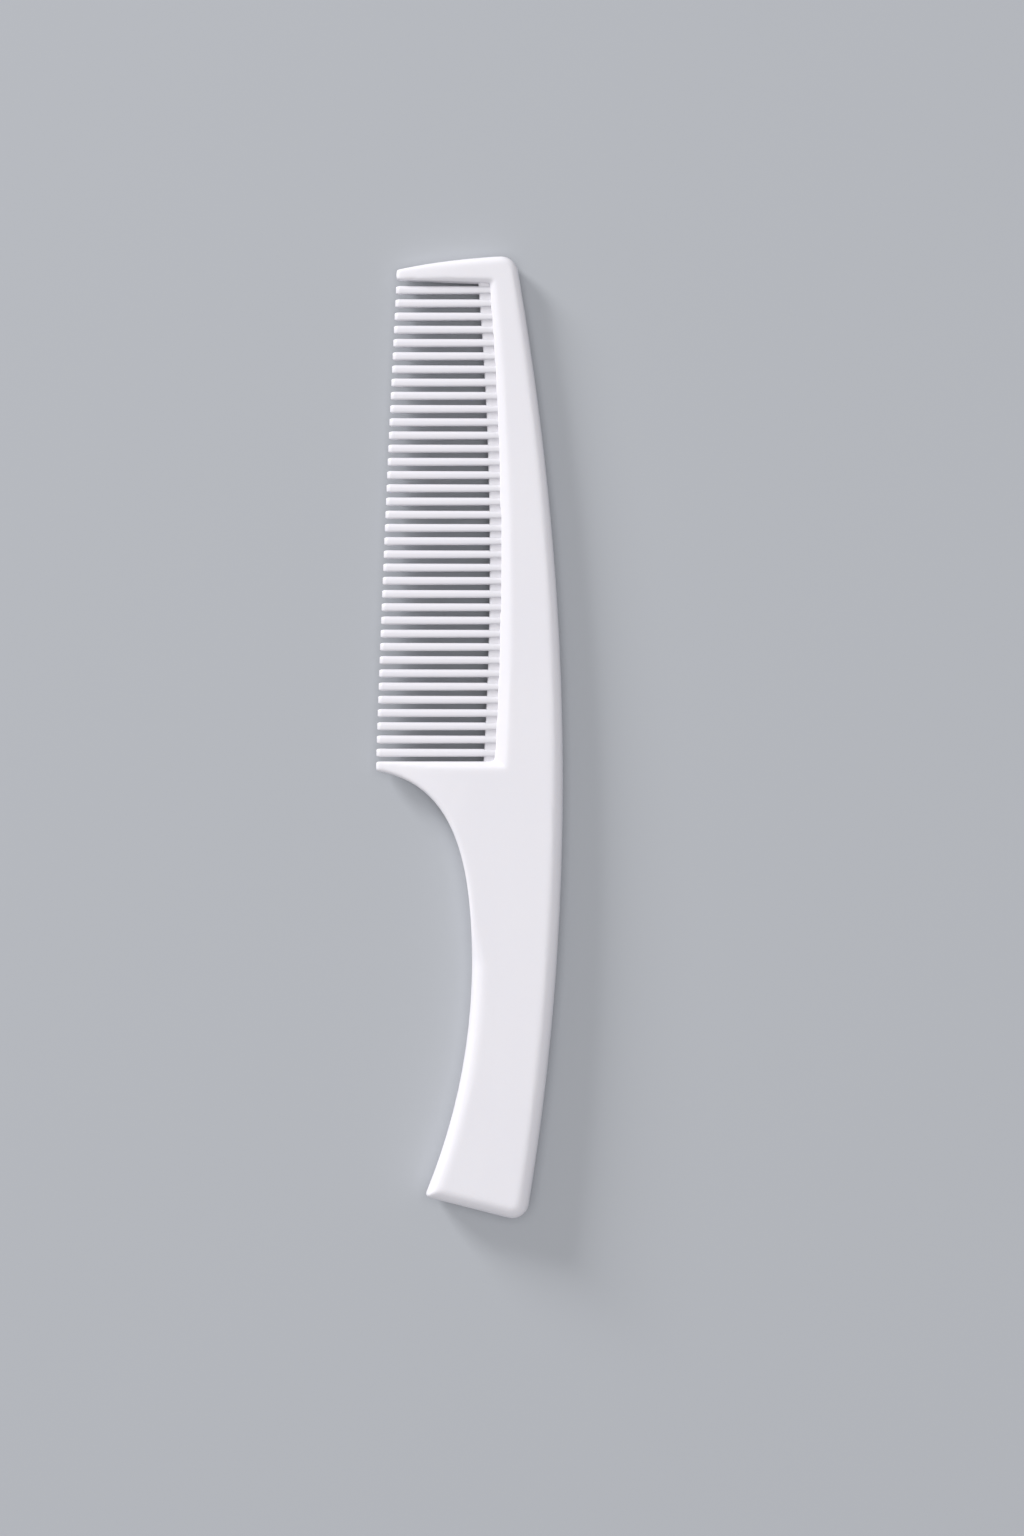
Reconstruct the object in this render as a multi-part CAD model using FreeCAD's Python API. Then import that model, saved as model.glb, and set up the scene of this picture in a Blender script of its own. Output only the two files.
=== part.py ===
"""Handle comb: a bowed body with a flat handle, a root rail let into it, and a row of single teeth.

Millimetres. The comb is laid out about its own middle plane, z = 0, with y along its length. y = 0 is
the inner face of the heel guard, the lower of the two broad end teeth, and x = 0 is where the gaps
between the teeth end there. The teeth point along -x and the spine is on the +x side. The last step
lays the comb on its flat back, with the middle of its box over the origin.
"""

import os

import FreeCAD
import Part
from FreeCAD import Vector
from math import atan2, cos, degrees, radians, sin, sqrt, tan

# The row of teeth
TOOTH_COUNT = 36
TOOTH_PITCH = 2.956
TIP_WIDTH = 1.83
ROOT_WIDTH = 2.14
TIP_THICKNESS = 2.0
ROOT_THICKNESS = 2.9
TOOTH_CORNER = 0.62
NOSE_LENGTH = 1.0
NOSE_SIDE = 0.35
NOSE_SWEEP = 68.0
NOSE_RINGS = 6
HEEL_TIP_REACH = 24.0
HEAD_TIP_REACH = 19.5
TIP_LINE_BOW = 0.25

# Where the gaps between the teeth end
HEEL_GAP = 0.88
HEAD_GAP = 0.45
ROOT_LEAN = 1.2
ROOT_BOW = 1.95

# The rail that carries the teeth
WEB_WIDTH = 2.4
WEB_THICKNESS = 2.0
TONGUE_DEPTH = 3.2
KEY_COUNT = 6
KEY_DIAMETER = 1.5
WEB_EDGE = 0.3

# The body, in plan
HANDLE_LENGTH = 102.9
SPINE_HEAD_WIDTH = 7.16
SPINE_BUTT_WIDTH = 9.46
SPINE_HEAD_LEAN = 9.97
SPINE_BUTT_LEAN = 9.77
HEAD_DEPTH = 6.2
CREST_BOW = 0.6
HEAD_CORNER = 3.9
BUTT_SLANT = 14.3
BUTT_SPINE_CORNER = 3.7
BUTT_GRIP_CORNER = 1.4
WAIST_INSET = 2.56
WAIST_DROP = 44.6
GRIP_RADIUS = 135.6
NECK_PULL = 24.65
THROAT_PULL = 16.78
THROAT_LEAN = 9.45
HEEL_GUARD_TIP = 2.1
HEAD_GUARD_TIP = 2.4
HEAD_GUARD_DRAFT = 0.6
GUARD_TIP_CORNER = 0.4

# The body, in thickness
HEAD_THICKNESS = 4.4
BUTT_THICKNESS = 7.2
RELIEF_START = 3.0
RELIEF_DROP = 1.4
RELIEF_OVERRUN = 1.3
BEVEL_WIDTH = 2.1
GUARD_BEVEL_WIDTH = 1.1
BEVEL_LIFT = 0.05

# Rounded edges
HEAD_EDGE = 1.8
HANDLE_EDGE = 3.0
GUARD_EDGE = 0.7
GUARD_NOSE = 0.9

FIT_CLEARANCE = 0.02

FIELD_LENGTH = (
    HEEL_GAP + ROOT_WIDTH + (TOOTH_COUNT - 1) * TOOTH_PITCH + HEAD_GAP
)
CREST_HEIGHT = FIELD_LENGTH + HEAD_DEPTH
BODY_LENGTH = CREST_HEIGHT + HANDLE_LENGTH
HALF_SLOPE = (BUTT_THICKNESS - HEAD_THICKNESS) / 2 / BODY_LENGTH

# How far the cutting shapes reach past the comb, and how close two points must be to count as one
OUTSIDE = 60.0
MATCH = 0.01
SEAM_MATCH = 0.004


def half_thickness(y):
    """Half of the body's thickness at y: it thins evenly from the butt to the head."""
    return HEAD_THICKNESS / 2 + (CREST_HEIGHT - y) * HALF_SLOPE


def arc(start, middle, end):
    return Part.Arc(start, middle, end).toShape()


def line(start, end):
    return Part.LineSegment(start, end).toShape()


def bezier(poles):
    curve = Part.BezierCurve()
    curve.setPoles(poles)
    return curve.toShape()


def prism(edges, low, high):
    """The closed outline of these edges, which lie at z = 0, raised from z = low to z = high."""
    face = Part.Face(Part.Wire(edges))
    face.translate(Vector(0, 0, low))
    return face.extrude(Vector(0, 0, high - low))


def root_x(y):
    """Where the gap between two teeth ends, at y: a shallow bow over the length of the field."""
    share = y / FIELD_LENGTH
    return -ROOT_LEAN * share + 4 * ROOT_BOW * share * (1 - share)


def tip_x(y):
    """Where a tooth at y ends."""
    share = y / FIELD_LENGTH
    straight = -HEEL_TIP_REACH + (HEEL_TIP_REACH - HEAD_TIP_REACH) * share
    return straight - 4 * TIP_LINE_BOW * share * (1 - share)


def root_arc(offset, low, high):
    """The line where the gaps end, moved towards the spine by offset, from y = low to y = high."""
    middle = (low + high) / 2
    return arc(
        Vector(root_x(low) + offset, low, 0),
        Vector(root_x(middle) + offset, middle, 0),
        Vector(root_x(high) + offset, high, 0),
    )


def spine_curve():
    """The long outer edge, from the head down to the butt, before its corners are rounded."""
    head = Vector(SPINE_HEAD_WIDTH, CREST_HEIGHT, 0)
    butt = Vector(SPINE_BUTT_WIDTH, -HANDLE_LENGTH, 0)
    third = BODY_LENGTH / 3
    head_pull = Vector(third * tan(radians(SPINE_HEAD_LEAN)), -third, 0)
    butt_pull = Vector(third * tan(radians(SPINE_BUTT_LEAN)), third, 0)
    return bezier([head, head + head_pull, butt + butt_pull, butt])


def grip_corner():
    """Where the slanted butt meets the hollow grip curve."""
    start = Vector(SPINE_BUTT_WIDTH, -HANDLE_LENGTH, 0)
    slant = radians(BUTT_SLANT)
    along = Vector(-cos(slant), sin(slant), 0)
    centre = Vector(-WAIST_INSET - GRIP_RADIUS, -WAIST_DROP, 0)
    back = along.dot(start - centre)
    reach = (start - centre).dot(start - centre) - GRIP_RADIUS ** 2
    return start + along * (-back - sqrt(back * back - reach))


def grip_curve():
    """The hollow inner edge of the handle, from the butt up to the waist."""
    centre = Vector(-WAIST_INSET - GRIP_RADIUS, -WAIST_DROP, 0)
    corner = grip_corner()
    turn = atan2(corner.y - centre.y, corner.x - centre.x) / 2
    middle = centre + Vector(cos(turn), sin(turn), 0) * GRIP_RADIUS
    return arc(corner, middle, Vector(-WAIST_INSET, -WAIST_DROP, 0))


def neck_curve():
    """The hollow under the teeth, from the waist up and round to the tip of the heel guard."""
    waist = Vector(-WAIST_INSET, -WAIST_DROP, 0)
    tip = Vector(-HEEL_TIP_REACH, -HEEL_GUARD_TIP, 0)
    lean = radians(THROAT_LEAN)
    throat = Vector(cos(lean), -sin(lean), 0) * THROAT_PULL
    return bezier([waist, waist + Vector(0, NECK_PULL, 0), tip + throat, tip])


def crest_curve():
    """The top edge, from the tip of the head guard to the spine."""
    tip = Vector(-HEAD_TIP_REACH, FIELD_LENGTH + HEAD_GUARD_DRAFT + HEAD_GUARD_TIP, 0)
    head = Vector(SPINE_HEAD_WIDTH, CREST_HEIGHT, 0)
    across = head - tip
    outward = Vector(-across.y, across.x, 0).normalize()
    return arc(tip, (tip + head) * 0.5 + outward * CREST_BOW, head)


def mirrored(solid):
    """The same solid on the other side of the middle plane."""
    return solid.mirror(Vector(0, 0, 0), Vector(0, 0, 1))


def body_blank():
    """The whole outline, raised past both faces, with its head and spine-side butt corners rounded."""
    heel_low = Vector(-HEEL_TIP_REACH, -HEEL_GUARD_TIP, 0)
    heel_high = Vector(-HEEL_TIP_REACH, 0, 0)
    head_low = Vector(-HEAD_TIP_REACH, FIELD_LENGTH + HEAD_GUARD_DRAFT, 0)
    head_high = head_low + Vector(0, HEAD_GUARD_TIP, 0)
    butt = Vector(SPINE_BUTT_WIDTH, -HANDLE_LENGTH, 0)
    head = Vector(SPINE_HEAD_WIDTH, CREST_HEIGHT, 0)
    outline = Part.__sortEdges__([
        spine_curve(),
        line(butt, grip_corner()),
        grip_curve(),
        neck_curve(),
        line(heel_low, heel_high),
        line(heel_high, head_low),
        line(head_low, head_high),
        crest_curve(),
    ])
    blank = prism(outline, -BUTT_THICKNESS, BUTT_THICKNESS)
    blank = blank.makeFillet(HEAD_CORNER, upright_edges(blank, head))
    return blank.makeFillet(BUTT_SPINE_CORNER, upright_edges(blank, butt))


def upright_edges(solid, foot):
    """The edges that stand square to the middle plane at this point."""
    return [
        edge for edge in solid.Edges
        if all(
            abs(vertex.X - foot.x) < MATCH and abs(vertex.Y - foot.y) < MATCH
            for vertex in edge.Vertexes
        )
    ]


def wedge():
    """All that lies between the two faces, which lean together towards the head."""
    low = -HANDLE_LENGTH - OUTSIDE
    high = CREST_HEIGHT + OUTSIDE
    corners = [
        Vector(-OUTSIDE, low, -half_thickness(low)),
        Vector(-OUTSIDE, high, -half_thickness(high)),
        Vector(-OUTSIDE, high, half_thickness(high)),
        Vector(-OUTSIDE, low, half_thickness(low)),
    ]
    return Part.Face(Part.makePolygon(corners + corners[:1])).extrude(Vector(2 * OUTSIDE, 0, 0))


def guard_relief():
    """What is taken off the front face so that both guards thin down towards their tips.

    A wide round hollow that starts tangent to the face, and runs along it from the waist up.
    """
    low = -WAIST_DROP
    run = HEEL_TIP_REACH - RELIEF_START
    radius = (run * run + RELIEF_DROP * RELIEF_DROP) / (2 * RELIEF_DROP)
    turn = RELIEF_OVERRUN * run / radius
    top = half_thickness(low)

    def on_arc(angle):
        return Vector(-RELIEF_START - radius * sin(angle), low, top - radius * (1 - cos(angle)))

    lift = Vector(0, 0, BUTT_THICKNESS)
    profile = Part.Wire([
        arc(on_arc(0), on_arc(turn / 2), on_arc(turn)),
        line(on_arc(turn), on_arc(turn) + lift),
        line(on_arc(turn) + lift, on_arc(0) + lift),
        line(on_arc(0) + lift, on_arc(0)),
    ])
    length = BODY_LENGTH + OUTSIDE
    return Part.Face(profile).extrude(Vector(0, length, -HALF_SLOPE * length))


def rim_edges(block, curve):
    """The edges of a block's front and back faces that run above or below this part of the outline."""
    found = []
    for edge in block.Edges:
        middle = edge.valueAt((edge.FirstParameter + edge.LastParameter) / 2)
        points = [vertex.Point for vertex in edge.Vertexes] + [middle]
        level = min(abs(point.z) for point in points)
        feet = [Part.Vertex(Vector(point.x, point.y, 0)) for point in points]
        if level > MATCH and all(curve.distToShape(foot)[0] < MATCH for foot in feet):
            found.append(edge)
    return found


def rounded_body():
    """The blank with both faces and all its outer edges rounded.

    The rounding grows from head to handle and fades out along the guards. Each block takes one
    change of radius, and the blocks are joined again along the same planes.
    """
    solid = body_blank().common(wedge())
    relief = guard_relief()
    solid = solid.cut(relief).cut(mirrored(relief))
    shoulder = CREST_HEIGHT - HEAD_CORNER - HEAD_EDGE
    arm_end = SPINE_HEAD_WIDTH - HEAD_CORNER - HEAD_EDGE
    handle = solid.common(window(-OUTSIDE, OUTSIDE, -HANDLE_LENGTH - OUTSIDE, -WAIST_DROP))
    middle = solid.common(window(-OUTSIDE, OUTSIDE, -WAIST_DROP, shoulder))
    corner = solid.common(window(arm_end, OUTSIDE, shoulder, CREST_HEIGHT + OUTSIDE))
    arm = solid.common(window(-OUTSIDE, arm_end, shoulder, CREST_HEIGHT + OUTSIDE))
    spine = spine_curve()
    handle = handle.makeFillet(HANDLE_EDGE, rim_edges(handle, spine) + rim_edges(handle, grip_curve()))
    middle = middle.makeFillet(HANDLE_EDGE, HEAD_EDGE, rim_edges(middle, spine))
    middle = middle.makeFillet(GUARD_EDGE, HANDLE_EDGE, rim_edges(middle, neck_curve()))
    corner = corner.makeFillet(HEAD_EDGE, rim_edges(corner, spine))
    arm = arm.makeFillet(GUARD_EDGE, HEAD_EDGE, rim_edges(arm, crest_curve()))
    return handle.fuse([middle, corner, arm], SEAM_MATCH).Solids[0]


def window(left, right, low, high):
    """A tall box over this stretch of the plan."""
    return Part.makeBox(
        right - left, high - low, 4 * BUTT_THICKNESS, Vector(left, low, -2 * BUTT_THICKNESS)
    )


def corner_cutter(corner, one_way, other_way, radius, depth):
    """What rounding a corner to this radius takes away, along the whole of depth.

    one_way and other_way point from the corner along its two sides.
    """
    one_way = Vector(one_way).normalize()
    other_way = Vector(other_way).normalize()
    inward = (one_way + other_way).normalize()
    half_angle = one_way.getAngle(inward)
    setback = radius / tan(half_angle)
    centre = corner + inward * (radius / sin(half_angle))
    start = corner + one_way * setback
    end = corner + other_way * setback
    apex = corner - inward * radius
    outline = Part.Wire([
        arc(start, centre - inward * radius, end),
        line(end, apex),
        line(apex, start),
    ])
    return Part.Face(outline).extrude(depth)


def plan_corner(corner, one_way, other_way, radius):
    """A corner cutter that stands through the whole thickness."""
    foot = Vector(corner.x, corner.y, -BUTT_THICKNESS)
    return corner_cutter(foot, one_way, other_way, radius, Vector(0, 0, 2 * BUTT_THICKNESS))


def corner_cutters():
    """What rounds the tips of the two guards, in plan and in thickness, and the butt's grip corner."""
    right = Vector(1, 0, 0)
    up = Vector(0, 1, 0)
    head_low = FIELD_LENGTH + HEAD_GUARD_DRAFT
    crest = crest_curve()
    crest_slope = crest.tangentAt(crest.FirstParameter)
    lean = radians(THROAT_LEAN)
    slant = radians(BUTT_SLANT)
    grip = grip_corner()
    grip_up = Vector(-WAIST_INSET - grip.x, -WAIST_DROP - grip.y, 0)
    cutters = [
        plan_corner(Vector(-HEEL_TIP_REACH, 0, 0), right, -up, GUARD_TIP_CORNER),
        plan_corner(
            Vector(-HEEL_TIP_REACH, -HEEL_GUARD_TIP, 0),
            Vector(cos(lean), -sin(lean), 0), up, GUARD_TIP_CORNER,
        ),
        plan_corner(Vector(-HEAD_TIP_REACH, head_low, 0), right, up, GUARD_TIP_CORNER),
        plan_corner(
            Vector(-HEAD_TIP_REACH, head_low + HEAD_GUARD_TIP, 0), crest_slope, -up, GUARD_TIP_CORNER,
        ),
        plan_corner(grip, Vector(cos(slant), -sin(slant), 0), grip_up, BUTT_GRIP_CORNER),
    ]
    for reach, y in ((HEEL_TIP_REACH, 0), (HEAD_TIP_REACH, head_low)):
        run = reach - RELIEF_START
        drop = RELIEF_DROP * (run / (HEEL_TIP_REACH - RELIEF_START)) ** 2
        start = Vector(-reach, y - OUTSIDE / 4, half_thickness(y) - drop)
        fall = Vector(run, 0, 2 * drop)
        nose = corner_cutter(start, fall, Vector(0, 0, -1), GUARD_NOSE, up * (OUTSIDE / 2))
        cutters += [nose, mirrored(nose)]
    return cutters


def field_floor(level, spread, rise):
    """The outline of the tooth field at a height above the middle plane.

    spread moves its spine side towards the spine, and rise moves both ends into the guards.
    """
    low = -rise
    high = FIELD_LENGTH + rise
    side = root_arc(WEB_WIDTH + spread, 0, FIELD_LENGTH)
    low_corner = Vector(root_x(low) + WEB_WIDTH + spread, low, 0)
    high_corner = Vector(root_x(high) + WEB_WIDTH + spread, high, 0)
    middle = Vector(root_x(FIELD_LENGTH / 2) + WEB_WIDTH + spread, FIELD_LENGTH / 2, 0)
    draft = HEAD_GUARD_DRAFT * (OUTSIDE + high_corner.x) / (HEAD_TIP_REACH + root_x(FIELD_LENGTH))
    outline = Part.Wire([
        arc(low_corner, middle, high_corner),
        line(high_corner, Vector(-OUTSIDE, high + draft, 0)),
        line(Vector(-OUTSIDE, high + draft, 0), Vector(-OUTSIDE, low, 0)),
        line(Vector(-OUTSIDE, low, 0), low_corner),
    ])
    outline.translate(Vector(0, 0, level))
    return outline


def tooth_field():
    """The space that the rail and the teeth stand in, with its bevelled sides on both faces."""
    foot = ROOT_THICKNESS / 2 + BEVEL_LIFT
    climb = half_thickness(FIELD_LENGTH / 2) - foot
    growth = BUTT_THICKNESS / climb
    floor = field_floor(foot, 0, 0)
    mouth = field_floor(foot + growth * climb, growth * BEVEL_WIDTH, growth * GUARD_BEVEL_WIDTH)
    bevel = Part.makeLoft([floor, mouth], True, True)
    slot = Part.Face(field_floor(-foot, 0, 0)).extrude(Vector(0, 0, 2 * foot))
    return slot.fuse([bevel, mirrored(bevel)])


def rail_strip(left, right, low, high, thickness):
    """A flat strip on the middle plane that follows the line where the gaps end."""
    near = root_arc(left, low, high)
    far = root_arc(right, low, high)
    outline = Part.__sortEdges__([
        near,
        far,
        line(Vector(root_x(low) + left, low, 0), Vector(root_x(low) + right, low, 0)),
        line(Vector(root_x(high) + left, high, 0), Vector(root_x(high) + right, high, 0)),
    ])
    return prism(outline, -thickness / 2, thickness / 2)


def key_posts(clearance):
    """The posts of the body that pass through the tongue of the rail."""
    posts = []
    for key in range(KEY_COUNT):
        y = FIELD_LENGTH * (key + 0.5) / KEY_COUNT
        foot = Vector(root_x(y) + WEB_WIDTH + TONGUE_DEPTH / 2, y, -WEB_THICKNESS)
        posts.append(Part.makeCylinder(KEY_DIAMETER / 2 + clearance, 2 * WEB_THICKNESS, foot))
    return posts


def comb_body():
    """Spine, handle and both guards: one rigid piece, grooved for the rail."""
    groove = rail_strip(
        -FIT_CLEARANCE, WEB_WIDTH + TONGUE_DEPTH + FIT_CLEARANCE,
        0, FIELD_LENGTH, WEB_THICKNESS + 2 * FIT_CLEARANCE,
    )
    body = rounded_body()
    for cutter in [tooth_field()] + corner_cutters() + [groove.cut(key_posts(0))]:
        body = body.cut(cutter)
    return body


def tooth_rail():
    """The web between the tooth roots, and its tongue inside the body."""
    low = -TOOTH_PITCH
    high = FIELD_LENGTH + TOOTH_PITCH
    strip = rail_strip(0, WEB_WIDTH + TONGUE_DEPTH, low, high, WEB_THICKNESS)
    strip = strip.makeChamfer(WEB_EDGE, rim_edges(strip, root_arc(0, low, high)))
    rail = strip.common(window(-OUTSIDE, OUTSIDE, FIT_CLEARANCE, FIELD_LENGTH - FIT_CLEARANCE))
    for post in key_posts(FIT_CLEARANCE):
        rail = rail.cut(post)
    return rail


def tooth_section(x, y, width, thickness, corner):
    """A rounded rectangle that stands across a tooth at x."""
    half_width = width / 2
    half_depth = thickness / 2
    bend = corner * (1 - sqrt(0.5))
    edges = []
    points = []
    for across, deep in ((1, 1), (-1, 1), (-1, -1), (1, -1)):
        side = Vector(x, y + across * half_width, deep * (half_depth - corner))
        face = Vector(x, y + across * (half_width - corner), deep * half_depth)
        middle = Vector(x, y + across * (half_width - bend), deep * (half_depth - bend))
        pair = (side, face) if across == deep else (face, side)
        points.append((pair[0], middle, pair[1]))
    for index, (start, middle, end) in enumerate(points):
        following = points[(index + 1) % len(points)][0]
        edges += [arc(start, middle, end), line(end, following)]
    return Part.Wire(edges)


def tooth(y):
    """One tooth at y: a tapered bar with a bull nose, forked where it rides over the web."""
    tip = tip_x(y)
    sweep = radians(NOSE_SWEEP)
    sections = []
    for ring in range(NOSE_RINGS, -1, -1):
        angle = sweep * ring / NOSE_RINGS
        shrink = cos(angle)
        x = tip + NOSE_LENGTH * (1 - sin(angle) / sin(sweep))
        width = TIP_WIDTH - 2 * NOSE_SIDE * (1 - shrink)
        sections.append(tooth_section(x, y, width, TIP_THICKNESS * shrink, TOOTH_CORNER * shrink))
    for x in (root_x(y), root_x(y) + 2 * WEB_WIDTH):
        sections.append(tooth_section(x, y, ROOT_WIDTH, ROOT_THICKNESS, TOOTH_CORNER))
    bar = Part.makeLoft(sections, True, True)
    low = y - TOOTH_PITCH
    high = y + TOOTH_PITCH
    past = 3 * WEB_WIDTH
    fork = rail_strip(-FIT_CLEARANCE, past, low, high, WEB_THICKNESS + 2 * FIT_CLEARANCE)
    body_side = rail_strip(WEB_WIDTH - FIT_CLEARANCE, past, low, high, 2 * ROOT_THICKNESS)
    return bar.cut([fork, body_side])


def teeth():
    """All the teeth by name, counted from the head down."""
    heel = HEEL_GAP + ROOT_WIDTH / 2
    pieces = {}
    for index in range(TOOTH_COUNT):
        y = heel + (TOOTH_COUNT - 1 - index) * TOOTH_PITCH
        pieces[f"tooth_{index + 1:02d}"] = tooth(y)
    return pieces


def laid_flat(pieces):
    """All the pieces turned onto the back face, with the middle of their box over the origin."""
    lean = degrees(atan2(HALF_SLOPE, 1))
    turned = {}
    for name, solid in pieces.items():
        copy = solid.copy()
        copy.rotate(Vector(0, 0, 0), Vector(1, 0, 0), -lean)
        turned[name] = copy
    box = Part.makeCompound(list(turned.values())).optimalBoundingBox(False, False)
    shift = Vector(-(box.XMin + box.XMax) / 2, -(box.YMin + box.YMax) / 2, -box.ZMin)
    for solid in turned.values():
        solid.translate(shift)
    return turned


def main():
    os.makedirs("parts", exist_ok=True)
    pieces = {"comb_body": comb_body(), "tooth_rail": tooth_rail()}
    pieces.update(teeth())
    for name, shape in laid_flat(pieces).items():
        solid = shape.Solids[0]
        box = solid.optimalBoundingBox(False, False)
        print(
            name, "solids", len(shape.Solids), "valid", solid.isValid(),
            "volume %.1f" % solid.Volume,
            "box %.2f %.2f %.2f to %.2f %.2f %.2f"
            % (box.XMin, box.YMin, box.ZMin, box.XMax, box.YMax, box.ZMax),
        )
        solid.exportStep(f"parts/{name}.step")


main()
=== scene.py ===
# %% [markdown]
# A white handle comb, finished around a fixed frame.
#
# The frame holds the comb as it was constructed: its body, the rail between the tooth roots, and every
# tooth, all at their real size. This script never moves them. It models each piece again as it comes
# out of a mould, with soft rims, gives every surface its finish, and sets up the light and the camera.

# %% Load the constructed comb
import math

import bpy
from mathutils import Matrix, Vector


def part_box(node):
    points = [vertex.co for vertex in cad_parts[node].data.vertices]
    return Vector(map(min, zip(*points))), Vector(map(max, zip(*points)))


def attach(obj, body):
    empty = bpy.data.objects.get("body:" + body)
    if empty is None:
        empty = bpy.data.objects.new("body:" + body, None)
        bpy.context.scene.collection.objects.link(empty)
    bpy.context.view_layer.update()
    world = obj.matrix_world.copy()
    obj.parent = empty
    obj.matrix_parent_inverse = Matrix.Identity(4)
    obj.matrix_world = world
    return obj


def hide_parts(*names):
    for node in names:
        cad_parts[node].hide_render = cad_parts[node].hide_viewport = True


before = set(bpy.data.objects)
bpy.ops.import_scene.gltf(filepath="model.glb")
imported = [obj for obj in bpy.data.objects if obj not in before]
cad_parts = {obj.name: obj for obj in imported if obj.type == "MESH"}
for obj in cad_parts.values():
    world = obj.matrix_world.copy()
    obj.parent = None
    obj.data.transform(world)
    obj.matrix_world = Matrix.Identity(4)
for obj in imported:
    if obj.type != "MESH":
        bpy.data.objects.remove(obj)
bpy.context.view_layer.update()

MM = 0.001

TOOTH_NODES = sorted(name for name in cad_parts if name.startswith("tooth_") and name != "tooth_rail")
HEAD_TOOTH = TOOTH_NODES[0]
HEEL_TOOTH = TOOTH_NODES[-1]
print("the comb holds", len(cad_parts), "pieces,", len(TOOTH_NODES), "of them teeth")

# %% [markdown]
# All sizes of the comb are written in millimetres, as on a drawing, and the factor MM turns them into
# the metres that the scene works in. Lamps, floor and camera are large, and are written in metres.
# Colours are written as the hex values that a paint program shows. The renderer works in linear light,
# so one function turns a hex value into that.

# %% Colours


def linear(hex_colour):
    """The linear red, green, blue and alpha of an sRGB hex colour."""
    channels = [int(hex_colour[place:place + 2], 16) / 255 for place in (1, 3, 5)]
    bent = [c / 12.92 if c <= 0.04045 else ((c + 0.055) / 1.055) ** 2.4 for c in channels]
    return (*bent, 1.0)


print("a middle grey is", [round(channel, 3) for channel in linear("#808080")], "in linear light")

# %% [markdown]
# The comb lies on its back and thins towards the head, so its middle plane leans by a third of a
# degree. Teeth and web are level with that plane. It is found from the middles of the first and the
# last tooth, so nothing has to be typed in again.

# %% Where the middle plane of the comb lies


def middle(node):
    """The middle of a constructed piece's box."""
    low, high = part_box(node)
    return (low + high) / 2


head_middle = middle(HEAD_TOOTH)
heel_middle = middle(HEEL_TOOTH)
LEAN = (head_middle.z - heel_middle.z) / (head_middle.y - heel_middle.y)
TOOTH_PITCH = (head_middle.y - heel_middle.y) / (len(TOOTH_NODES) - 1)

print("the plane leans", round(math.degrees(math.atan(LEAN)), 3), "degrees")
print("the teeth are", round(TOOTH_PITCH / MM, 3), "mm apart")

# %% [markdown]
# Blender's operators act on whatever is selected, and loading the frame left every piece selected. So
# each step starts by deselecting everything, and picks what it works on by where it lies.

# %% Helpers for working in edit mode


def take(piece):
    """Make this the one selected and active object."""
    bpy.ops.object.select_all(action="DESELECT")
    piece.select_set(True)
    bpy.context.view_layer.objects.active = piece


def pick(piece, kind, test):
    """In edit mode, select only the vertices, edges or faces (VERT, EDGE, FACE) that pass the test."""
    bpy.ops.mesh.select_mode(type=kind)
    bpy.ops.mesh.select_all(action="DESELECT")
    bpy.ops.object.mode_set(mode="OBJECT")
    mesh = piece.data
    things = {"VERT": mesh.vertices, "EDGE": mesh.edges, "FACE": mesh.polygons}[kind]
    count = 0
    for thing in things:
        if kind == "VERT":
            corners = [thing.co]
        else:
            corners = [mesh.vertices[index].co for index in thing.vertices]
        thing.select = test(corners)
        count += thing.select
    bpy.ops.object.mode_set(mode="EDIT")
    return count


def smooth(piece, angle):
    """Shade a piece smooth, except across edges that turn by more than this angle."""
    take(piece)
    bpy.ops.object.shade_smooth_by_angle(angle=math.radians(angle))


def report(piece):
    """Print how large the mesh of a piece is."""
    print(piece.name, "has", len(piece.data.vertices), "points and", len(piece.data.polygons), "faces")


# %% [markdown]
# The body is one moulding: spine, handle and the two broad end teeth. Its construction has the right
# rounding along the outside, but the rims of the tooth field are as sharp as the drawing. Polished
# steel moulds leave a radius on every edge, and in the photograph the bright bevel round the field has
# soft rims. The constructed mesh can't simply be bevelled: it is made of thin slivers, and a bevel stops
# at the narrowest of them. So the moulding is recast. A copy of the body is rebuilt out of one even
# fine net, and the net is relaxed a few times, which rounds every rim and leaves the flat faces flat.

# %% Copy a constructed piece and merge its triangles
WELD = 0.002 * MM


def constructed_copy(node, name):
    """A new piece with its own mesh, closed up from the loose triangles of a constructed one."""
    bpy.ops.object.select_all(action="DESELECT")
    piece = bpy.data.objects.new(name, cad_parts[node].data.copy())
    bpy.context.scene.collection.objects.link(piece)
    take(piece)
    bpy.ops.object.mode_set(mode="EDIT")
    bpy.ops.mesh.select_all(action="SELECT")
    bpy.ops.mesh.remove_doubles(threshold=WELD)
    bpy.ops.mesh.customdata_custom_splitnormals_clear()
    bpy.ops.object.mode_set(mode="OBJECT")
    report(piece)
    return piece


moulding = constructed_copy("comb_body", "comb_moulding")

# %% [markdown]
# The underside of the head guard slopes: from both faces it runs down to the middle of the comb, and it
# hangs lower towards the root, where it all but meets the first tooth. A long four-sided bar, standing
# on edge, gives it that slope. It is mostly inside the guard, and the recasting fuses the two.

# %% Add the slope under the head guard
# Where the middle of the bar is at its two ends, and half its width and thickness there.
SLOPE_TIP = Vector((-15.2, 102.95, 0)) * MM
SLOPE_ROOT = Vector((3.2, 102.55, 0)) * MM
SLOPE_TIP_HALF = (1.0 * MM, 1.0 * MM)
SLOPE_ROOT_HALF = (1.55 * MM, 1.6 * MM)
slope_level = head_middle.z + LEAN * (SLOPE_ROOT.y - head_middle.y)

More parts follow.
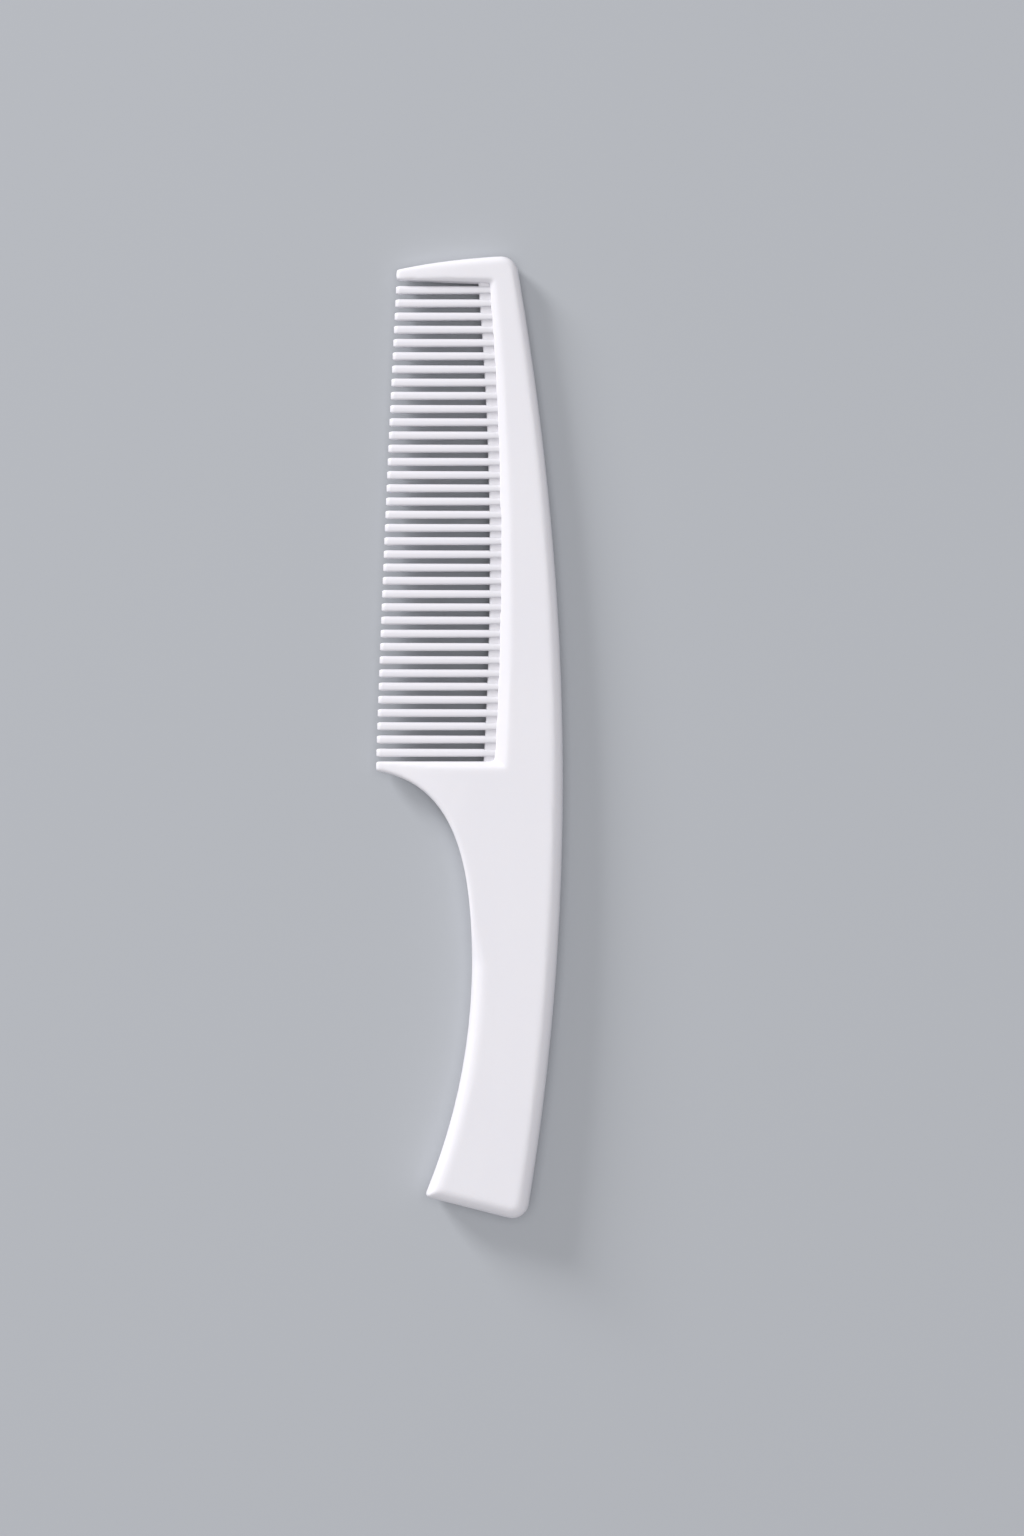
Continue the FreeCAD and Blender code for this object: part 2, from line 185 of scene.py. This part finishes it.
bpy.ops.object.select_all(action="DESELECT")
bpy.ops.mesh.primitive_cylinder_add(
    vertices=4, radius=1, depth=1, enter_editmode=True, location=(0, 0, 0), rotation=(0, math.pi / 2, 0),
)
slope = bpy.context.active_object
bpy.ops.object.mode_set(mode="OBJECT")
bpy.ops.object.transform_apply(location=False, rotation=True, scale=False)
bpy.ops.object.mode_set(mode="EDIT")
for side, place, half in ((-0.5, SLOPE_TIP, SLOPE_TIP_HALF), (0.5, SLOPE_ROOT, SLOPE_ROOT_HALF)):
    pick(slope, "VERT", lambda corners: abs(corners[0].x - side) < abs(side) / 2)
    bpy.ops.transform.resize(value=(1, half[0], half[1]), center_override=(0, 0, 0))
    bpy.ops.transform.translate(value=(place.x - side, place.y, slope_level))
bpy.ops.object.mode_set(mode="OBJECT")
take(moulding)
slope.select_set(True)
bpy.ops.object.join()
report(moulding)

# %% Recast it with soft rims
BODY_NET = 0.4 * MM
BODY_ROUNDS = 5
RELAX_FACTOR = 0.5


def recast(piece, net, rounds):
    """Rebuild a piece out of an even net of this size, and relax the net this many times."""
    take(piece)
    rebuilt = piece.modifiers.new("recast", "REMESH")
    rebuilt.mode = "VOXEL"
    rebuilt.voxel_size = net
    rebuilt.use_smooth_shade = True
    bpy.ops.object.modifier_apply(modifier=rebuilt.name)
    relaxed = piece.modifiers.new("relax", "SMOOTH")
    relaxed.factor = RELAX_FACTOR
    relaxed.iterations = rounds
    bpy.ops.object.modifier_apply(modifier=relaxed.name)
    report(piece)


recast(moulding, BODY_NET, BODY_ROUNDS)

# %% [markdown]
# The rail closes the field between the roots of the teeth. Its left edge shows as a thin bright line
# in every gap, because it is rounded too. It is recast like the body, with a finer net. Both its ends
# are first drawn a little way into the guards, so that their rounding doesn't open a gap there.

# %% The rail between the roots
END_OVERLAP = 0.4 * MM
END_REACH = 0.1 * MM
RAIL_NET = 0.25 * MM
RAIL_ROUNDS = 3

rail_low, rail_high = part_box("tooth_rail")
rail = constructed_copy("tooth_rail", "comb_tooth_rail")
bpy.ops.object.mode_set(mode="EDIT")
for end, way in ((rail_low.y, -1), (rail_high.y, 1)):
    moved = pick(rail, "VERT", lambda corners: abs(corners[0].y - end) < END_REACH)
    bpy.ops.transform.translate(value=(0, way * END_OVERLAP, 0))
    print("drew", moved, "points out at one end of the rail")
bpy.ops.object.mode_set(mode="OBJECT")
recast(rail, RAIL_NET, RAIL_ROUNDS)

# %% [markdown]
# All the teeth are one shape. Only their place and their length differ, because the line of their
# roots bows and the line of their tips leans. So one tooth is modelled and copied. It starts as a
# block. In the photograph the bright upper edge takes up a third of each tooth, and the lower edge is
# crisper. So the upper long edges get a wide, rather flat bevel and the lower ones a narrow round one.
# The free end is narrowed, and then drawn out ring by ring into a blunt round nose that doesn't scratch
# the scalp.

# %% Measure a constructed tooth
NOSE_LENGTH = 1.0 * MM
SLICE = 0.1 * MM


def girth(node, x):
    """Width and thickness of a constructed piece at x, from its corners there."""
    near = [v.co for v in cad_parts[node].data.vertices if abs(v.co.x - x) < SLICE]
    width = max(p.y for p in near) - min(p.y for p in near)
    thickness = max(p.z for p in near) - min(p.z for p in near)
    return width, thickness


sample_low, sample_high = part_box(HEEL_TOOTH)
tip_width, tip_thickness = girth(HEEL_TOOTH, sample_low.x + NOSE_LENGTH)
root_width, root_thickness = girth(HEEL_TOOTH, sample_high.x)
print("a tooth is", [round(size / MM, 2) for size in (tip_width, tip_thickness)], "mm at the nose")
print("and", [round(size / MM, 2) for size in (root_width, root_thickness)], "mm at the root")

# %% Model one tooth
UPPER_EDGE_RADIUS = 0.8 * MM
UPPER_EDGE_STEPS = 6
UPPER_EDGE_PROFILE = 0.4
LOWER_EDGE_RADIUS = 0.4 * MM
LOWER_EDGE_STEPS = 4
# The nose is a quarter turn, in degrees, that stops short of a point. In width it closes only partly.
NOSE_TURNS = (16, 32, 47, 60, 72, 81)
NOSE_SIDE = 0.38
shaft_length = sample_high.x - sample_low.x - NOSE_LENGTH


def is_long(ends):
    """True for an edge that runs along the tooth."""
    return abs(ends[0].x - ends[1].x) > shaft_length / 2


bpy.ops.object.select_all(action="DESELECT")
bpy.ops.mesh.primitive_cube_add(size=1, enter_editmode=True, location=(0, 0, 0))
master = bpy.context.active_object
master.name = "tooth_master"
bpy.ops.transform.resize(value=(shaft_length, root_width, root_thickness))
bpy.ops.transform.translate(value=(-shaft_length / 2, 0, 0))
pick(master, "EDGE", lambda ends: is_long(ends) and ends[0].y > 0)
bpy.ops.mesh.bevel(
    offset=UPPER_EDGE_RADIUS, segments=UPPER_EDGE_STEPS, profile=UPPER_EDGE_PROFILE, affect="EDGES",
)
pick(master, "EDGE", lambda ends: is_long(ends) and max(end.y for end in ends) < WELD - root_width / 2)
bpy.ops.mesh.bevel(offset=LOWER_EDGE_RADIUS, segments=LOWER_EDGE_STEPS, affect="EDGES")

pick(master, "FACE", lambda corners: all(corner.x < -shaft_length + WELD for corner in corners))
bpy.ops.transform.resize(
    value=(1, tip_width / root_width, tip_thickness / root_thickness),
    center_override=(-shaft_length, 0, 0),
)
reached = 0.0
wide = 1.0
deep = 1.0
for turn in NOSE_TURNS:
    angle = math.radians(turn)
    forward = NOSE_LENGTH * math.sin(angle)
    narrow = 1 - NOSE_SIDE * (1 - math.cos(angle))
    thin = math.cos(angle)
    bpy.ops.mesh.extrude_region_move(TRANSFORM_OT_translate={"value": (reached - forward, 0, 0)})
    bpy.ops.transform.resize(
        value=(1, narrow / wide, thin / deep), center_override=(-shaft_length - forward, 0, 0),
    )
    reached = forward
    wide = narrow
    deep = thin
bpy.ops.object.mode_set(mode="OBJECT")
report(master)

# %% [markdown]
# At its root each tooth is forked and rides over the web of the rail. The fork is cut with a block,
# as a milling cutter would.

# %% Cut the fork at the root
WEB_WIDTH = 2.38 * MM
WEB_THICKNESS = 2.0 * MM
FIT = 0.02 * MM
CREASE_ANGLE = 40

bpy.ops.object.select_all(action="DESELECT")
bpy.ops.mesh.primitive_cube_add(size=1, enter_editmode=True, location=(0, 0, 0))
cutter = bpy.context.active_object
bpy.ops.transform.resize(value=(2 * WEB_WIDTH, 2 * root_width, WEB_THICKNESS + 2 * FIT))
bpy.ops.object.mode_set(mode="OBJECT")
take(master)
fork = master.modifiers.new("fork", "BOOLEAN")
fork.operation = "DIFFERENCE"
fork.solver = "EXACT"
fork.object = cutter
bpy.ops.object.modifier_apply(modifier=fork.name)
bpy.data.objects.remove(cutter)
bpy.ops.object.mode_set(mode="EDIT")
bpy.ops.mesh.select_all(action="SELECT")
bpy.ops.mesh.normals_make_consistent(inside=False)
bpy.ops.object.mode_set(mode="OBJECT")
smooth(master, CREASE_ANGLE)
report(master)

# %% [markdown]
# Each copy is moved so that its root is where the constructed tooth's root is. Then its front half
# is slid until the nose is in place too. Sliding it keeps the nose as round on a short tooth as on a
# long one, where scaling the whole tooth would flatten it. Last, the root end is drawn a little way
# into the body, so that the rib meets the soft rim of the body without a gap.

# %% Copy the tooth to every place
ROOT_OVERLAP = 0.35 * MM
nose_reach = NOSE_LENGTH * math.sin(math.radians(NOSE_TURNS[-1]))

teeth = []
for name in TOOTH_NODES:
    low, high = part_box(name)
    place = middle(name)
    take(master)
    bpy.ops.object.duplicate()
    tooth = bpy.context.active_object
    tooth.name = name.replace("tooth_", "comb_tooth_")
    bpy.ops.object.mode_set(mode="EDIT")
    pick(tooth, "VERT", lambda corners: corners[0].x < -shaft_length / 2)
    slide = (high.x - low.x) - (shaft_length + nose_reach)
    bpy.ops.transform.translate(value=(-slide, 0, 0))
    pick(tooth, "VERT", lambda corners: corners[0].x > -WELD)
    bpy.ops.transform.translate(value=(ROOT_OVERLAP, 0, 0))
    bpy.ops.mesh.select_all(action="SELECT")
    bpy.ops.transform.translate(value=(high.x, place.y, place.z))
    bpy.ops.object.mode_set(mode="OBJECT")
    teeth.append(tooth)
bpy.data.objects.remove(master)
print("made", len(teeth), "teeth, from", teeth[0].name, "to", teeth[-1].name)

# %% [markdown]
# A material is a small network of nodes. Each node is added by the same few lines: its kind, its
# settings, and what its sockets hold. A socket holds either a number or another node's output.

# %% One helper that adds a node


def add_node(tree, kind, settings=None, **sockets):
    """A node of this kind, with its settings, and its input sockets filled or linked.

    A socket is named by its label, with _ for a space, or by its number, as in i6.
    """
    node = tree.nodes.new(kind)
    for name, value in (settings or {}).items():
        setattr(node, name, value)
    for name, value in sockets.items():
        key = int(name[1:]) if name[0] == "i" and name[1:].isdigit() else name.replace("_", " ")
        socket = node.inputs[key]
        if isinstance(value, bpy.types.NodeSocket):
            tree.links.new(value, socket)
        else:
            socket.default_value = value
    return node


def new_material(name):
    """An empty material with its node tree."""
    material = bpy.data.materials.new(name)
    material.use_nodes = True
    material.node_tree.nodes.clear()
    return material, material.node_tree


# %% [markdown]
# The comb is moulded in one white plastic, most likely acetal, which is stiff, slippery and a little
# translucent. It comes out of a fine-textured steel mould, so its skin is satin: it spreads the light
# softly, with no sharp mirror image. Three things keep it from looking like paint. The melt leaves
# faint long streaks as it flows down the handle, the skin has a very fine grain, and the white drifts
# a little between cool and warm over a few centimetres. The teeth and the rail are the same plastic, but
# they look a shade greyer in the photograph, probably because they are thin and let more light through.
# So their copy of the material has both whites painted greyer: this is painted shade.

# %% Satin moulded acetal
DRIFT_SIZE = 25 * MM
STREAK_WIDTH = 3 * MM
STREAK_LENGTH = 60 * MM
STREAK_DEPTH = 0.05 * MM
# The mould's grain is about 0.05 mm. It is drawn at 0.4 mm so that it can show at all.
GRAIN_SIZE = 0.4 * MM
GRAIN_DEPTH = 0.02 * MM
SATIN_LOW = 0.34
SATIN_HIGH = 0.42
LIGHT_DEPTH = 0.8 * MM


def moulded_acetal(name, face, shade, grain_strength):
    """White acetal from a fine-textured mould. It drifts between the two whites, face and shade."""
    material, tree = new_material(name)
    place = add_node(tree, "ShaderNodeTexCoord").outputs["Object"]
    drift = add_node(tree, "ShaderNodeTexNoise", Vector=place, Scale=1 / DRIFT_SIZE, Detail=2.0)
    white = add_node(
        tree, "ShaderNodeMix", {"data_type": "RGBA"},
        i0=drift.outputs["Fac"], i6=linear(face), i7=linear(shade),
    )
    drawn_out = add_node(
        tree, "ShaderNodeMapping", Vector=place,
        Scale=(1 / STREAK_WIDTH, 1 / STREAK_LENGTH, 1 / STREAK_WIDTH),
    )
    streaks = add_node(
        tree, "ShaderNodeTexNoise", Vector=drawn_out.outputs["Vector"], Scale=1.0, Detail=3.0,
    )
    gloss = add_node(
        tree, "ShaderNodeMapRange",
        Value=streaks.outputs["Fac"], From_Min=0.3, From_Max=0.7, To_Min=SATIN_LOW, To_Max=SATIN_HIGH,
    )
    grain = add_node(tree, "ShaderNodeTexNoise", Vector=place, Scale=1 / GRAIN_SIZE, Detail=2.0)
    flow_bump = add_node(
        tree, "ShaderNodeBump", Height=streaks.outputs["Fac"], Strength=0.15, Distance=STREAK_DEPTH,
    )
    grain_bump = add_node(
        tree, "ShaderNodeBump", Height=grain.outputs["Fac"], Strength=grain_strength,
        Distance=GRAIN_DEPTH, Normal=flow_bump.outputs["Normal"],
    )
    shader = add_node(
        tree, "ShaderNodeBsdfPrincipled",
        Base_Color=white.outputs[2], Roughness=gloss.outputs["Result"],
        Normal=grain_bump.outputs["Normal"], IOR=1.48,
        Subsurface_Weight=0.25, Subsurface_Radius=(1.0, 0.95, 0.9), Subsurface_Scale=LIGHT_DEPTH,
    )
    add_node(tree, "ShaderNodeOutputMaterial", Surface=shader.outputs["BSDF"])
    return material


body_acetal = moulded_acetal("satin_moulded_acetal_body", "#efedf1", "#ebe9ef", 0.35)
# The teeth and the rail get the same acetal with both whites painted a shade greyer: painted shade for
# their darker look.
teeth_acetal_painted_shade = moulded_acetal("satin_moulded_acetal_teeth_painted_shade", "#e8e6eb", "#e3e1e7", 0.25)
print("materials:", body_acetal.name, teeth_acetal_painted_shade.name)

# %% [markdown]
# Every piece gets its finish. The constructed pieces stay in place, hidden behind the modelled ones
# that stand for them.

# %% Give every piece its finish and its place in the comb


def finish_piece(piece, material):
    """Put a material on a piece."""
    piece.data.materials.clear()
    piece.data.materials.append(material)


modelled = {"comb_body": moulding, "tooth_rail": rail, **dict(zip(TOOTH_NODES, teeth))}
for name, piece in modelled.items():
    if name == "comb_body":
        material, slot = body_acetal, "body_plastic"
    else:
        material, slot = teeth_acetal_painted_shade, "tooth_plastic"
    finish_piece(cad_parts[name], material)
    finish_piece(piece, material)
    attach(piece, "root")
    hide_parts(name)
print("finished", len(modelled), "modelled pieces and the", len(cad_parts), "that they stand for")

# %% [markdown]
# The comb lies on a plain pale floor. The floor is a step darker than the comb, so that the white
# outline reads all the way round.

# %% The floor
FLOOR_SIZE = 10.0

bpy.ops.object.select_all(action="DESELECT")
bpy.ops.mesh.primitive_plane_add(size=FLOOR_SIZE, location=(0, 0, 0))
floor = bpy.context.active_object
floor.name = "floor"
paper, paper_tree = new_material("matt_paper_floor")
paper_shader = add_node(
    paper_tree, "ShaderNodeBsdfPrincipled", Base_Color=linear("#b9bcc1"), Roughness=0.9,
)
add_node(paper_tree, "ShaderNodeOutputMaterial", Surface=paper_shader.outputs["BSDF"])
floor.data.materials.append(paper)

# %% [markdown]
# The light is a studio's. In the photograph every edge that faces up or left is brighter than the flat
# face, and every edge that faces down or right falls off into grey. So a soft box stands low and far
# away, up to the left: low, so that it finds the edges, and far, so that the head gets no more of it
# than the butt. A wide weak one overhead lifts the flat face. The rest comes evenly from all round.

# %% Lights


def soft_box(name, place, size, power):
    """A square lamp of this size in metres, at this place, pointed at the comb."""
    lamp = bpy.data.lights.new(name, "AREA")
    lamp.shape = "SQUARE"
    lamp.size = size
    lamp.energy = power
    box = bpy.data.objects.new(name, lamp)
    bpy.context.scene.collection.objects.link(box)
    box.location = place
    box.rotation_euler = (-box.location).to_track_quat("-Z", "Y").to_euler()


soft_box("key_box", (-2.25, 2.25, 0.86), 0.9, 96)
soft_box("overhead_box", (0.0, -0.1, 1.8), 1.8, 15)
world = bpy.data.worlds.new("studio")
world.use_nodes = True
surroundings = world.node_tree.nodes["Background"]
surroundings.inputs["Color"].default_value = linear("#fbfbff")
surroundings.inputs["Strength"].default_value = 0.36
bpy.context.scene.world = world
bpy.context.scene.view_settings.view_transform = "Standard"

# %% [markdown]
# The photograph looks at the comb straight on. The comb lies on its back here, so the camera looks
# straight down, with the head of the comb at the top of the picture. It stands 0.8 m away, and the
# lens is worked out from the height of the picture at the comb.

# %% The camera
IMAGE_HEIGHT_PX = 1536
PHOTO_MM_PER_PX = 0.2236
PHOTO_CENTRE = (9.5 * MM, -6.95 * MM)
CAMERA_DISTANCE = 0.8
SENSOR_WIDTH = 36

camera_data = bpy.data.cameras.new("camera")
camera_data.sensor_width = SENSOR_WIDTH
picture_height = IMAGE_HEIGHT_PX * PHOTO_MM_PER_PX * MM
camera_data.lens = camera_data.sensor_width * CAMERA_DISTANCE / picture_height
camera = bpy.data.objects.new("camera", camera_data)
camera.location = (*PHOTO_CENTRE, CAMERA_DISTANCE + heel_middle.z)
bpy.context.scene.collection.objects.link(camera)
bpy.context.scene.camera = camera
print("lens", round(camera_data.lens, 1), "mm")
